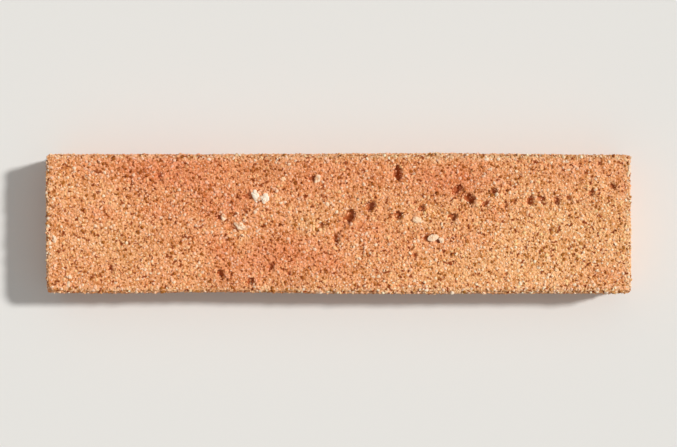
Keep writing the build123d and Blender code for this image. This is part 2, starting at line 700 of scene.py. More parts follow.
@dataclass(frozen=True)
class Bits:
    """Small bits of one colour that the saw lays bare.

    Attributes:
        colour: Their colour.
        spacing: Distance from one to the next.
        rare: Share of the places that have none.
        cover: How much of the clay's own colour they hide.
        smallest: Radius of the smallest, as a share of the spacing.
        spread: How much larger the largest are.
        core: Share of its radius within which a bit has its full colour.
        bend: How far their outlines are bent, as a share of the spacing.
        bends: How many such bends one spacing has.
    """

    colour: Colour
    spacing: float
    rare: float
    cover: float = 0.85
    smallest: float = 0.08
    spread: float = 0.3
    core: float = 0.75
    bend: float = 0.9
    bends: float = 1.6

    def mask(self, bench: NodeBench, place: Socket) -> Socket:
        """Add the nodes that say where they show.

        Args:
            bench: The material's bench.
            place: Object coordinates.

        Returns:
            How far a bit covers the place.
        """
        lean = bench.lean(place, self.bends / self.spacing, 2.0)
        bent = bench.vector("ADD", place, bench.scaled(lean, self.bend * self.spacing))
        distance, colour = bench.cells(bent, self.spacing)
        draws = bench.parts(colour)
        reach = bench.math("MULTIPLY_ADD", draws[0], self.spread, self.smallest)
        edge = bench.math("MULTIPLY", reach, self.core)
        chosen = bench.math("GREATER_THAN", draws[1], self.rare)
        return bench.math("MULTIPLY", bench.ramp(distance, edge, reach, self.cover, 0.0), chosen)


@dataclass(frozen=True)
class SawnFinish:
    """Clay that the saw cut through: mottled, with pale and dark bits and faint arcs.

    Attributes:
        body: The clay's own colour.
        shade: Colour of its darker mottles and of the arcs.
        mottle_size: Size of the mottles.
        mottle_noise: Noise at which the clay is as dark, and at which it is as light, as
            it gets.
        bits: Clods, larger and smaller chalk, and pores, whose dark colour is painted shade.
        blade: Middle of the arcs that the blade left.
        arc_pitch: Distance from one arc to the next.
        arc_bend: How far an arc strays from its circle.
        arc_bend_size: Size of such a bend.
        arc_run: How long an arc shows before it fades.
        arc_noise: Noise at which an arc starts to show, and at which it shows in full.
        arc_strength: How strong the arcs are.
    """

    body: Colour = linear(216, 142, 100)
    shade: Colour = linear(194, 116, 78)
    mottle_size: float = 5 * MM
    mottle_noise: tuple[float, float] = (0.35, 0.65)
    bits: tuple[Bits, ...] = (
        Bits(linear(182, 96, 62), 4.5 * MM, 0.60),
        Bits(linear(230, 180, 138), 2.7 * MM, 0.62),
        Bits(linear(230, 180, 138), 1.3 * MM, 0.70),
        # Pores: dark bits that paint the shade inside them
        Bits(linear(132, 72, 48), 1.6 * MM, 0.72),
    )
    blade: tuple[float, float, float] = (-30 * MM, -260 * MM, 0.0)
    arc_pitch: float = 2.6 * MM
    arc_bend: float = 5 * MM
    arc_bend_size: float = 24 * MM
    arc_run: float = 18 * MM
    arc_noise: tuple[float, float] = (0.4, 0.62)
    arc_strength: float = 0.55

    def colour(self, bench: NodeBench, place: Socket) -> Socket:
        """Add the nodes of the sawn clay's colour.

        Args:
            bench: The material's bench.
            place: Object coordinates.

        Returns:
            The colour.
        """
        noise = bench.noise(place, self.mottle_size, seed=2.0, detail=4.0)
        colour = bench.mixed(bench.ramp(noise, *self.mottle_noise), self.shade, self.body)
        for bits in self.bits:
            colour = bench.mixed(bits.mask(bench, place), colour, bits.colour)
        arcs = bench.math("MULTIPLY", self.arcs(bench, place), self.arc_strength)
        return bench.mixed(arcs, colour, self.shade)

    def arcs(self, bench: NodeBench, place: Socket) -> Socket:
        """Add the nodes of the arcs that the blade leaves.

        Args:
            bench: The material's bench.
            place: Object coordinates.

        Returns:
            How strongly an arc shows, which fades in and out over the back.
        """
        radius = bench.length(bench.vector("SUBTRACT", place, self.blade))
        noise = bench.noise(place, self.arc_bend_size, seed=8.0)
        uneven = bench.math("MULTIPLY_ADD", noise, self.arc_bend, radius)
        wave = bench.math("SINE", bench.math("MULTIPLY", uneven, math.tau / self.arc_pitch))
        noise = bench.noise(place, self.arc_run, seed=9.0, detail=3.0)
        shown = bench.ramp(noise, *self.arc_noise)
        return bench.math("MULTIPLY", bench.ramp(wave, 0.0, 1.0), shown)


@dataclass(frozen=True)
class ClayFinish:
    """Fired clay between the grains: dusty on the face, darker in hollows partly by its own colour
    and partly by painted shade, bare on the back.

    Attributes:
        gap: What a gap between grains multiplies the clay's tone by, which paints the shade
            between the grains.
        grain: What a grain multiplies it by.
        grain_values: Value of the speckle up to which there is a gap, and from which there
            is a grain.
        deep_clay_and_shade: Colour of the deepest clay of a hollow or a lost bit, partly the
            broken clay's own darker colour and partly painted shade.
        deep_shade_span: How broken the clay is where that colour starts, and where it is full.
        deep_shade_share: Share of that colour where it is full.
        sawn: The finish of the back.
        roughness: Roughness of the gaps and of the grains.
        bump: Height of the grains.
        sawn_bump: Their height on the back, as a share of that.
    """

    gap: Colour = (0.60, 0.41, 0.20, 1.0)
    grain: Colour = (1.0, 0.97, 0.92, 1.0)
    grain_values: tuple[float, float] = (0.2, 0.75)
    deep_clay_and_shade: Colour = linear(152, 60, 6)
    deep_shade_span: tuple[float, float] = (0.4, 1.1)
    deep_shade_share: float = 0.8
    sawn: SawnFinish = SawnFinish()
    roughness: tuple[float, float] = (0.82, 0.96)
    bump: float = 0.16 * MM
    sawn_bump: float = 0.25

    def material(self, palette: Palette) -> bpy.types.Material:
        """Build the material.

        Args:
            palette: The shared shader groups.

        Returns:
            The clay's material.
        """
        material, bench, shader = new_material("fired_clay")
        place = bench.add("ShaderNodeTexCoord").outputs["Object"]
        tone = bench.group(palette.tone, {"Place": place}).outputs["Color"]
        speckle = bench.group(palette.speckle, {"Place": place}).outputs
        # The gap colour is painted shade between the grains; the grain colour is their own
        stops = dict(zip(self.grain_values, (self.gap, self.grain)))
        colour = bench.mixed(1.0, tone, bench.stops(speckle["Value"], stops), "MULTIPLY")
        # Hollows, lost bits and the broken corner take a darker colour, partly the broken clay's
        # own and partly painted shade
        broken = bench.math("MAXIMUM", bench.mark(Mark.HOLLOW), bench.mark(Mark.LOST))
        painted_deep_shade = bench.ramp(broken, *self.deep_shade_span, 0.0, self.deep_shade_share)
        colour = bench.mixed(painted_deep_shade, colour, self.deep_clay_and_shade)
        sawn = bench.mark(Mark.SAWN)
        bench.feed(shader, "Base Color", bench.mixed(sawn, colour, self.sawn.colour(bench, place)))
        bench.feed(shader, "Roughness", bench.ramp(speckle["Value"], 0.0, 1.0, *self.roughness))
        lower = bench.ramp(sawn, 0.0, 1.0, 1.0, self.sawn_bump)
        bench.roughen(shader, bench.math("MULTIPLY", speckle["Height"], lower), self.bump)
        return material


@dataclass(frozen=True)
class GrainFinish:
    """Grains that take the clay's tone, each with a tint that multiplies it.

    Attributes:
        sort: The grains' sort.
        tints: The tints by their places in the row from dark grains to pale ones.
        palest: Colour that no grain is paler than.
        roughness: Roughness of the darkest grains and of the palest.
        tooth: Size of the unevenness of a grain's surface.
        bump: Height of that unevenness.
    """

    sort: Sort
    tints: dict[float, Colour]
    palest: Colour = linear(255, 228, 192)
    roughness: tuple[float, float] = (0.92, 0.75)
    tooth: float = 0.35 * MM
    bump: float = 0.04 * MM

    def material(self, palette: Palette) -> bpy.types.Material:
        """Build the material.

        Args:
            palette: The shared shader groups.

        Returns:
            The grains' material.
        """
        material, bench, shader = new_material(self.sort.value)
        place = bench.add("ShaderNodeTexCoord").outputs["Object"]
        draw = bench.attribute(TINT)
        tone = bench.group(palette.tone, {"Place": place}).outputs["Color"]
        tinted = bench.mixed(1.0, tone, bench.stops(draw, self.tints), "MULTIPLY")
        bench.feed(shader, "Base Color", bench.mixed(1.0, tinted, self.palest, "DARKEN"))
        bench.feed(shader, "Roughness", bench.ramp(draw, 0.0, 1.0, *self.roughness))
        tooth = bench.group(palette.speckle, {"Place": place, "Cell": self.tooth})
        bench.roughen(shader, tooth.outputs["Height"], self.bump)
        return material


def grain_finishes() -> tuple[GrainFinish, ...]:
    """List the finishes of the strewn grains.

    The fine sand is mostly tan. More of the coarse grains are dark or cream, and the
    crumbs of bare clay fired a little pinker.

    Returns:
        The finish of each sort.
    """
    tan = (0.97, 0.96, 0.94, 1.0)
    fine = {
        0.07: (0.50, 0.34, 0.13, 1.0),
        0.18: (0.84, 0.67, 0.46, 1.0),
        0.34: tan,
        0.56: (1.00, 1.15, 1.02, 1.0),
        0.70: (1.00, 1.10, 1.38, 1.0),
        0.84: tan,
        0.93: (1.00, 1.28, 1.62, 1.0),
        0.99: (1.00, 1.45, 1.92, 1.0),
    }
    coarse = {
        0.08: (0.42, 0.26, 0.08, 1.0),
        0.18: (0.78, 0.58, 0.35, 1.0),
        0.34: tan,
        0.58: (1.00, 1.20, 1.10, 1.0),
        0.72: (1.00, 1.18, 1.50, 1.0),
        0.80: tan,
        0.88: (1.00, 1.34, 1.75, 1.0),
        0.97: (1.00, 1.50, 2.00, 1.0),
    }
    crumbs = {
        0.10: (0.62, 0.44, 0.24, 1.0),
        0.30: (0.90, 0.80, 0.70, 1.0),
        0.60: (0.98, 0.95, 1.05, 1.0),
        0.90: (1.00, 1.08, 1.40, 1.0),
    }
    return (
        GrainFinish(Sort.FINE, fine),
        GrainFinish(Sort.COARSE, coarse),
        GrainFinish(Sort.CRUMBS, crumbs),
    )


@dataclass(frozen=True)
class GritFinish:
    """Pale lime and quartz grit, streaked by the clay and stained by it stone by stone.

    Attributes:
        white: Colour of a clean stone.
        stained: Colour of one that the clay has stained through.
        streak: Colour of the clay's streaks.
        streak_size: Size of the streaks.
        streak_noise: Noise at which a streak starts to show, and at which it shows in full.
        roughness: Roughness of a stone and of the streaks.
        tooth: Size of the unevenness of a stone's surface.
        bump: Height of that unevenness.
    """

    white: Colour = linear(255, 238, 214)
    stained: Colour = linear(252, 202, 154)
    streak: Colour = linear(228, 170, 126)
    streak_size: float = 1.3 * MM
    streak_noise: tuple[float, float] = (0.50, 0.62)
    roughness: tuple[float, float] = (0.6, 0.85)
    tooth: float = 0.5 * MM
    bump: float = 0.12 * MM

    def material(self, palette: Palette) -> bpy.types.Material:
        """Build the material.

        Args:
            palette: The shared shader groups.

        Returns:
            The grit's material.
        """
        material, bench, shader = new_material("pale_grit")
        place = bench.add("ShaderNodeTexCoord").outputs["Object"]
        noise = bench.noise(place, self.streak_size, seed=2.0, detail=4.0)
        streak = bench.ramp(noise, *self.streak_noise)
        colour = bench.mixed(bench.attribute(STAIN), self.white, self.stained)
        bench.feed(shader, "Base Color", bench.mixed(streak, colour, self.streak))
        bench.feed(shader, "Roughness", bench.ramp(streak, 0.0, 1.0, *self.roughness))
        tooth = bench.group(palette.speckle, {"Place": place, "Cell": self.tooth})
        bench.roughen(shader, tooth.outputs["Height"], self.bump)
        return material


# The clay


@dataclass(frozen=True)
class Stone:
    """One piece of grit in the face.

    Attributes:
        x: Its place along the slip, in millimetres.
        y: Its place up the face, in millimetres.
        size: Its length, in millimetres.
        width: Its width, in millimetres.
        slant: How far its length is turned from the slip's, in degrees.
        stain: How far the clay has stained it, from 0 to 1.
        gap: How deep the clay has come away on its left, from 0 to 1; the socket also takes the
            hollows' painted shade.
    """

    x: float
    y: float
    size: float
    width: float
    slant: float
    stain: float
    gap: float


def face_stones() -> tuple[Stone, ...]:
    """Return the pale stones that show singly in the face.

    Returns:
        The stones.
    """
    return (
        Stone(-29.6, 9.9, 3.8, 2.3, -72, 0.05, 1.0),
        Stone(-26.1, 9.2, 3.2, 2.8, 50, 0.1, 0.5),
        Stone(-35.0, -1.0, 4.1, 2.2, -30, 0.5, 0.8),
        Stone(-41.0, 2.3, 2.1, 1.7, -50, 0.5, 1.0),
        Stone(-19.7, 15.8, 1.6, 1.3, 10, 0.9, 0.0),
        Stone(-7.5, 15.9, 2.7, 2.0, 50, 0.6, 1.0),
        Stone(28.1, 1.6, 2.9, 2.3, -20, 0.7, 0.3),
        Stone(33.8, -5.1, 3.1, 2.4, 35, 0.55, 1.0),
        Stone(36.8, -6.0, 2.1, 1.5, -70, 0.6, 1.0),
        Stone(-101.2, -5.8, 1.9, 1.3, 80, 0.5, 0.2),
    )


@dataclass(frozen=True)
class ClayLattice:
    """A closed mesh of small squares, laid over the solid like a skin.

    Attributes:
        size: The slip's overall size.
        pitch: Mesh spacing on the face and along the arrises.
        side_pitch: Mesh spacing down the sides.
        turn_radius: Radius at which the mesh turns over the arrises.
        turn_steps: Mesh rows in half of such a turn.
        back_inset: How far the sawn back's edge stands in from the sides.
        corner_cut: Length that the lower left corner's break takes off both arrises together.
        corner_drop: How far the break reaches down from the face.
    """

    size: SlipSize
    pitch: float = 0.42 * MM
    side_pitch: float = 0.8 * MM
    turn_radius: float = 1.6 * MM
    turn_steps: int = 3
    back_inset: float = 0.5 * MM
    corner_cut: float = 4.8 * MM
    corner_drop: float = 3.4 * MM

    def columns(self, whole: float) -> tuple[np.ndarray, np.ndarray]:
        """Place the mesh lines along one axis of the face.

        Args:
            whole: The slip's size along the axis.

        Returns:
            The lines' places, where those of a turn share one, and how far each leans
            outward, from -1 to 1.
        """
        flat = whole / 2 - self.turn_radius
        count = round(2 * flat / self.pitch)
        lean = np.tan(np.linspace(0, math.pi / 4, self.turn_steps + 1)[1:])
        turned = np.full(self.turn_steps, flat)
        places = np.concatenate([-turned, np.linspace(-flat, flat, count + 1), turned])
        return places, np.concatenate([-lean[::-1], np.zeros(count + 1), lean])

    def face_shape(self) -> tuple[int, int]:
        """Return how many points the face has up its height and along its length."""
        return len(self.columns(self.size.height)[0]), len(self.columns(self.size.length)[0])

    def build(self) -> tuple[np.ndarray, list[list[int]]]:
        """Lay the mesh.

        Returns:
            Its points, those of the face first, and its faces, where the back's triangles
            are last.
        """
        base, lean = self.face_points()
        high, wide = self.face_shape()
        grid = np.arange(high * wide).reshape(high, wide)
        edge = np.concatenate([grid[0, :], grid[1:, -1], grid[-1, -2::-1], grid[-2:0:-1, 0]])
        shoulder = self.size.thickness - self.turn_radius
        rises = np.tan(np.linspace(math.pi / 4, 0, self.turn_steps + 1)[1:])
        drops = np.linspace(shoulder, self.back_inset, round(shoulder / self.side_pitch) + 1)[1:]
        rows = [self.rounded(base, lean, shoulder, 1.0)]
        rows += [self.rounded(base[edge], lean[edge], shoulder, rise) for rise in rises]
        rows += [self.rounded(base[edge], lean[edge], drop, 0.0) for drop in drops]
        points = self.cut_corner(self.pressed(np.concatenate(rows), np.all(lean == 0, axis=1)))
        points = np.concatenate([points, self.back_edge(points[-len(edge):], base[edge]),
                                 np.zeros((1, 3))])
        loops = [edge] + [high * wide + row * len(edge) + np.arange(len(edge))
                          for row in range(len(rises) + len(drops) + 1)]
        corners = [grid[:-1, :-1], grid[:-1, 1:], grid[1:, 1:], grid[1:, :-1]]
        faces = np.stack(corners, -1).reshape(-1, 4).tolist()
        for upper, lower in zip(loops, loops[1:]):
            corners = [upper, lower, np.roll(lower, -1), np.roll(upper, -1)]
            faces += np.stack(corners, -1).tolist()
        middle = np.full(len(edge), len(points) - 1)
        faces += np.stack([loops[-1], middle, np.roll(loops[-1], -1)], -1).tolist()
        return points, faces

    def face_points(self) -> tuple[np.ndarray, np.ndarray]:
        """Place the points of the face.

        Returns:
            Each point's flat place and its outward lean, both as x and y.
        """
        place_x, lean_x = self.columns(self.size.length)
        place_y, lean_y = self.columns(self.size.height)
        places = np.stack(np.broadcast_arrays(place_x[None, :], place_y[:, None]), -1)
        leans = np.stack(np.broadcast_arrays(lean_x[None, :], lean_y[:, None]), -1)
        return places.reshape(-1, 2), leans.reshape(-1, 2)

    def rounded(self, base: np.ndarray, lean: np.ndarray, level: float, rise: float) -> np.ndarray:
        """Put points on a block with rounded arrises.

        Args:
            base: The flat places that they stand out from.
            lean: How far each leans outward.
            level: Height of the places that they stand out from.
            rise: How far all of them lean upward.

        Returns:
            The points.
        """
        direction = np.column_stack([lean, np.full(len(lean), rise)])
        direction /= np.linalg.norm(direction, axis=1)[:, None]
        return np.column_stack([base, np.full(len(base), level)]) + self.turn_radius * direction

    def pressed(self, points: np.ndarray, flat: np.ndarray) -> np.ndarray:
        """Press points onto the solid.

        Args:
            points: The points, those of the face first.
            flat: For each of the face's points, whether it lies inside the arrises.

        Returns:
            The points, moved.
        """
        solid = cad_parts[SOLID].data
        corners = [vertex.co for vertex in solid.vertices]
        tree = BVHTree.FromPolygons(corners, [polygon.vertices for polygon in solid.polygons])
        down = Vector((0.0, 0.0, -1.0))
        moved = points.copy()
        for number, point in enumerate(points):
            if number < len(flat) and flat[number]:
                above = Vector((point[0], point[1], 2 * self.size.thickness))
                moved[number] = tree.ray_cast(above, down)[0]
            else:
                moved[number] = tree.find_nearest(Vector(point))[0]
        return moved

    def beyond_corner(self, points: np.ndarray) -> np.ndarray:
        """Measure how far points lie beyond the slant that the lower left corner broke at.

        Args:
            points: The points.

        Returns:
            For each, 0 on the slant, more beyond it and less inside the clay.
        """
        away = points[:, :2].sum(axis=1) + (self.size.length + self.size.height) / 2
        drop = self.size.thickness - points[:, 2]
        return 1 - away / self.corner_cut - drop / self.corner_drop

    def cut_corner(self, points: np.ndarray) -> np.ndarray:
        """Move points that lie beyond the broken corner's slant onto it.

        Args:
            points: The points.

        Returns:
            The points, moved.
        """
        slope = np.array([-1 / self.corner_cut, -1 / self.corner_cut, 1 / self.corner_drop])
        beyond = np.clip(self.beyond_corner(points), 0, None)
        return points - beyond[:, None] * slope / (slope @ slope)

    def back_edge(self, lowest: np.ndarray, base: np.ndarray) -> np.ndarray:
        """Place the edge of the sawn back.

        Args:
            lowest: The lowest points of the sides.
            base: The flat places that they stand out from.

        Returns:
            A point of the edge under each of them.
        """
        outward = lowest[:, :2] - base
        outward /= np.linalg.norm(outward, axis=1)[:, None]
        return np.column_stack([lowest[:, :2] - self.back_inset * outward, np.zeros(len(lowest))])


@dataclass(frozen=True)
class ClayMarks:
    """Works out from the clay's shape what lies where on it.

    Attributes:
        lattice: The mesh that the clay is made of.
        stones: The grit in the face, each with a socket on its left.
        full_hollow: Depth below the face at which a hollow counts as full.
        side_margin: Distance from the sides at which hollows start to count, and width of
            the band over which they come to count in full.
        near_rounds: How many times a hollow is softened to find what is near it.
        near_gain: How much the softened hollows are strengthened.
        push: How far the clay of a hollow was pushed, along the slip and up its face.
        rim_gain: How much the mark of the pushed clay is strengthened.
        socket_shift: How far left of its stone a socket lies, as a share of its length.
        socket_reach: Half of a socket's length and width, as shares of its stone's.
        socket_steepness: How steeply a socket deepens from its edge.
        arris_reach: How far from its edge an arris reaches.
        end_arris: How strongly the arrises of the ends are marked.
        corner_bareness: How far the broken corner counts as a hollow, which bares it of sand and
            darkens it, partly as broken clay and partly as painted shade.
        corner_edge: How abruptly the broken corner starts.
        face_depth: Depth below the face that still has the face's sand.
        bare_hollow: How hollow the clay is where it starts to lack sand.
        bare_share: Most of its sand that a hollow lacks.
        bare_foot: Height of the sides above the back that has no sand.
        sawn_level: Height up to which the clay counts as sawn.
    """

    lattice: ClayLattice
    stones: tuple[Stone, ...]
    full_hollow: float = 1.5 * MM
    side_margin: tuple[float, float] = (1.0 * MM, 1.5 * MM)
    near_rounds: int = 6
    near_gain: float = 1.6
    push: tuple[float, float] = (2.2 * MM, -0.8 * MM)
    rim_gain: float = 1.8
    socket_shift: float = 0.6
    socket_reach: tuple[float, float] = (0.75, 0.7)
    socket_steepness: float = 1.6
    arris_reach: float = 2.2 * MM
    end_arris: float = 0.85
    corner_bareness: float = 0.55
    corner_edge: float = 8.0
    face_depth: float = 0.9 * MM
    bare_hollow: float = 0.4
    bare_share: float = 0.7
    bare_foot: float = 1.1 * MM
    sawn_level: float = 0.05 * MM

    def store(self, mesh: bpy.types.Mesh, points: np.ndarray) -> None:
        """Store every mark on a mesh.

        Args:
            mesh: The clay's mesh.
            points: Its points.
        """
        for mark, values in self.values(points).items():
            attribute = mesh.attributes.new(mark.value, "FLOAT", "POINT")
            attribute.data.foreach_set("value", values.astype(np.float32))

    def values(self, points: np.ndarray) -> dict[Mark, np.ndarray]:
        """Work out the marks.

        Args:
            points: The clay's points.

        Returns:
            Each mark's value at each point, from 0 to 1.
        """
        size = self.lattice.size
        depth = size.thickness - points[:, 2]
        inward = [size.length / 2, size.height / 2] - np.abs(points[:, :2])
        to_side = inward.min(axis=1)
        hollow = self.hollow(to_side, depth)
        softer = softened(np.clip(3 * hollow, 0, 1), self.near_rounds)
        near = np.clip(self.near_gain * softer, 0, 1)
        rim = np.clip(self.rim_gain * self.pushed_aside(hollow) - 2 * hollow, 0, 1)
        hollow, near, rim = (self.on_all(field, len(points)) for field in (hollow, near, rim))
        arris = np.clip(1 - np.hypot(np.maximum(to_side, 0), depth) / self.arris_reach, 0, 1)
        chipped = np.clip(1 + self.corner_edge * self.lattice.beyond_corner(points), 0, 1)
        broken = np.maximum(hollow, self.corner_bareness * chipped)
        upper = (depth < self.face_depth) | (broken > 0)
        sanded = 1 - np.clip(4 * (broken - self.bare_hollow), 0, self.bare_share)
        return {
            Mark.HOLLOW: broken,
            Mark.NEAR_HOLLOW: near,
            Mark.RIM: rim,
            Mark.ARRIS: np.where(inward[:, 0] < inward[:, 1], self.end_arris, 1.0) * arris,
            Mark.SOCKET: self.socket(points) * (depth < 2 * self.full_hollow),
            Mark.SAWN: (points[:, 2] < self.sawn_level).astype(float),
            Mark.FACE_SAND: np.where(upper, sanded, 0.0),
            Mark.SIDE_SAND: (~upper & (points[:, 2] > self.bare_foot)).astype(float),
            Mark.CRUMBS: np.clip(near * (1 - hollow) + rim, 0, 1),
        }

    def socket(self, points: np.ndarray) -> np.ndarray:
        """Find the sockets, which the stones have worked loose from on their left.

        Args:
            points: The clay's points.

        Returns:
            How far each point lies in a socket, from 0 to 1.
        """
        inside = np.zeros(len(points))
        for stone in self.stones:
            middle = np.array([stone.x - self.socket_shift * stone.size, stone.y]) * MM
            reach = np.array(self.socket_reach) * [stone.size, stone.width] * MM
            away = np.linalg.norm((points[:, :2] - middle) / reach, axis=1)
            dish = np.clip(self.socket_steepness * (1 - away ** 2), 0, 1)
            inside = np.maximum(inside, stone.gap * dish)
        return inside

    def hollow(self, to_side: np.ndarray, depth: np.ndarray) -> np.ndarray:
        """Find the hollows of the face.

        Args:
            to_side: Each point's distance from the nearest side.
            depth: Each point's depth below the face.

        Returns:
            How hollow the face is at its grid of points, with the arrises left out.
        """
        shape = self.lattice.face_shape()
        face = slice(0, shape[0] * shape[1])
        margin, band = self.side_margin
        off_arris = np.clip((to_side[face] - margin) / band, 0, 1)
        return (np.clip(depth[face] / self.full_hollow, 0, 1) * off_arris).reshape(shape)

    def pushed_aside(self, hollow: np.ndarray) -> np.ndarray:
        """Return where the clay of the hollows was pushed to."""
        along, up = (round(push / self.lattice.pitch) for push in self.push)
        return np.roll(softened(hollow, 3), (up, along), (0, 1))

    def on_all(self, field: np.ndarray, count: int) -> np.ndarray:
        """Return a field of the face's grid as values of all points, 0 off the face."""
        return np.concatenate([field.ravel(), np.zeros(count - field.size)])


def softened(field: np.ndarray, rounds: int) -> np.ndarray:
    """Average a field on a grid with its neighbours.

    Args:
        field: The field.
        rounds: How many times it is averaged.

    Returns:
        The softened field.
    """
    for _ in range(rounds):
        field = (field + np.roll(field, 1, 0) + np.roll(field, -1, 0)) / 3
        field = (field + np.roll(field, 1, 1) + np.roll(field, -1, 1)) / 3
    return field


@dataclass(frozen=True)
class ClayRelief:
    """Geometry nodes that raise and lower the fired clay along its normals.

    Attributes:
        lump: Size and height of the slow lumps.
        sand: Size and height of the sandy texture.
        crumble: Size and height of the crumbled clay round a hollow.
        ragged: How far the crumbling shifts a hollow's outline sideways.
        nibble: Size of the bits lost from the arrises.
        nibble_noise: Noise at which such a bit starts, and at which it is lost whole.
        nibble_arris: How strong an arris is where its losses start, and where they are full.
        nibble_depth: Depth of a full loss there, as a share of the depth below.
        pinhole: Spacing of the pinholes.
        pinhole_rare: Share of the places that have no pinhole.
        pinhole_radius: Radius of the smallest, and how much larger the largest is, as
            shares of the spacing.
        pinhole_floor: Share of its radius within which a pinhole is deepest.
        socket_ragged: Least and greatest depth of a socket, next to its mark.
        rim: Height of the clay pushed up beside a hollow.
        loss: Depth that is lost in a nibble, in a pinhole or beside a stone.
        bed: How far the clay lies inside the solid, so that its sand stays within it.
        seed: Number that tells this slip's relief from another's.
    """

    lump: tuple[float, float] = (16 * MM, 0.35 * MM)
    sand: tuple[float, float] = (1.5 * MM, 0.5 * MM)
    crumble: tuple[float, float] = (2.4 * MM, 1.0 * MM)
    ragged: float = 2.2 * MM
    nibble: float = 1.7 * MM
    nibble_noise: tuple[float, float] = (0.42, 0.54)
    nibble_arris: tuple[float, float] = (0.3, 0.6)
    nibble_depth: float = 0.75
    pinhole: float = 5.5 * MM
    pinhole_rare: float = 0.72
    pinhole_radius: tuple[float, float] = (0.10, 0.12)
    pinhole_floor: float = 0.4
    socket_ragged: tuple[float, float] = (0.6, 1.4)
    rim: float = 0.55 * MM
    loss: float = 1.1 * MM
    bed: float = SAND_BED
    seed: float = 4.0

    def values(self) -> dict[str, float]:
        """Gather the tree's numbers.

        Returns:
            Each number by the name of its input.
        """
        return {
            "Lump Size": self.lump[0],
            "Lump Height": self.lump[1],
            "Sand Size": self.sand[0],
            "Sand Height": self.sand[1],
            "Crumble Size": self.crumble[0],
            "Crumble Height": self.crumble[1],
            "Ragged Shift": self.ragged,
            "Nibble Size": self.nibble,
            "Pinhole Spacing": self.pinhole,
            "Rim Height": self.rim,
            "Loss Depth": self.loss,
            "Bed Depth": self.bed,
            "Seed": self.seed,
        }

    def applied(self, clay: bpy.types.Object, finish: bpy.types.Material) -> bpy.types.Mesh:
        """Put the relief on the clay.

        Args:
            clay: The clay.
            finish: The clay's material.

        Returns:
            The clay's new mesh.
        """
        return applied_nodes(clay, self.tree(), self.values() | {"Finish": finish})

    def tree(self) -> bpy.types.NodeTree:
        """Build the tree.

        Returns:
            The tree.
        """
        inputs = {
            "Geometry": ("NodeSocketGeometry", None),
            "Finish": ("NodeSocketMaterial", None),
        }
        inputs |= {name: ("NodeSocketFloat", value) for name, value in self.values().items()}
        outputs = {"Geometry": "NodeSocketGeometry"}
        bench = new_group("GeometryNodeTree", "clay_relief", inputs, outputs)
        source, result = ends(bench)
        place = bench.add("GeometryNodeInputPosition").outputs[0]
        raised = self.swell(bench, place, source, "Lump")
        raised = bench.math("ADD", raised, self.swell(bench, place, source, "Sand"))
        crumble = self.swell(bench, place, source, "Crumble")
        raised = bench.math("MULTIPLY_ADD", crumble, bench.mark(Mark.NEAR_HOLLOW), raised)
        raised = bench.math("MULTIPLY_ADD", source["Rim Height"], bench.mark(Mark.RIM), raised)
        lost = self.losses(bench, place, source)
        marked = bench.stored(source["Geometry"], Mark.LOST.value, lost, "POINT")
        lowered = bench.math("MULTIPLY", bench.mark(Mark.LOST), source["Loss Depth"])
        offset = bench.math("SUBTRACT", bench.math("SUBTRACT", raised, lowered),
                            source["Bed Depth"])
        fired = bench.math("SUBTRACT", 1.0, bench.mark(Mark.SAWN))
        move = bench.scaled(self.outward(bench), bench.math("MULTIPLY", offset, fired))
        move = bench.vector("ADD", move, self.shift(bench, place, source))
        feeds = {"Geometry": marked, "Offset": move}
        moved = bench.add("GeometryNodeSetPosition", feeds).outputs[0]
        finish_mesh(bench, moved, source["Finish"], result)
        return bench.tree

    def outward(self, bench: NodeBench) -> Socket:
        """Add the nodes of the direction out of the clay, which turns softly at the arrises.

        Args:
            bench: The tree's bench.

        Returns:
            The direction.
        """
        feeds = {"Value": bench.add("GeometryNodeInputNormal").outputs[0], "Iterations": 5}
        blur = bench.add("GeometryNodeBlurAttribute", feeds, data_type="FLOAT_VECTOR")
        return bench.vector("NORMALIZE", blur.outputs[0])

    def swell(self, bench: NodeBench, place: Socket, source: Any, name: str) -> Socket:
        """Add the nodes of a rise and fall about level.

        Args:
            bench: The tree's bench.
            place: The place on the clay.
            source: The tree's inputs.
            name: Name of the pair of inputs that gives its size and height.

        Returns:
            The height at the place.
        """
        noise = bench.noise(place, source[f"{name} Size"], source["Seed"])
        return bench.math("MULTIPLY", bench.math("SUBTRACT", noise, 0.5), source[f"{name} Height"])

    def shift(self, bench: NodeBench, place: Socket, source: Any) -> Socket:
        """Add the nodes that make the outline of a hollow ragged.

        Args:
            bench: The tree's bench.
            place: The place on the clay.
            source: The tree's inputs.

        Returns:
            The sideways move of the place.
        """
        scale = bench.math("DIVIDE", 1.0, source["Crumble Size"])
        sideways = bench.vector("MULTIPLY", bench.lean(place, scale, 1.0), (1.0, 1.0, 0.0))
        reach = bench.math("MULTIPLY", bench.mark(Mark.NEAR_HOLLOW), source["Ragged Shift"])
        return bench.scaled(sideways, reach)

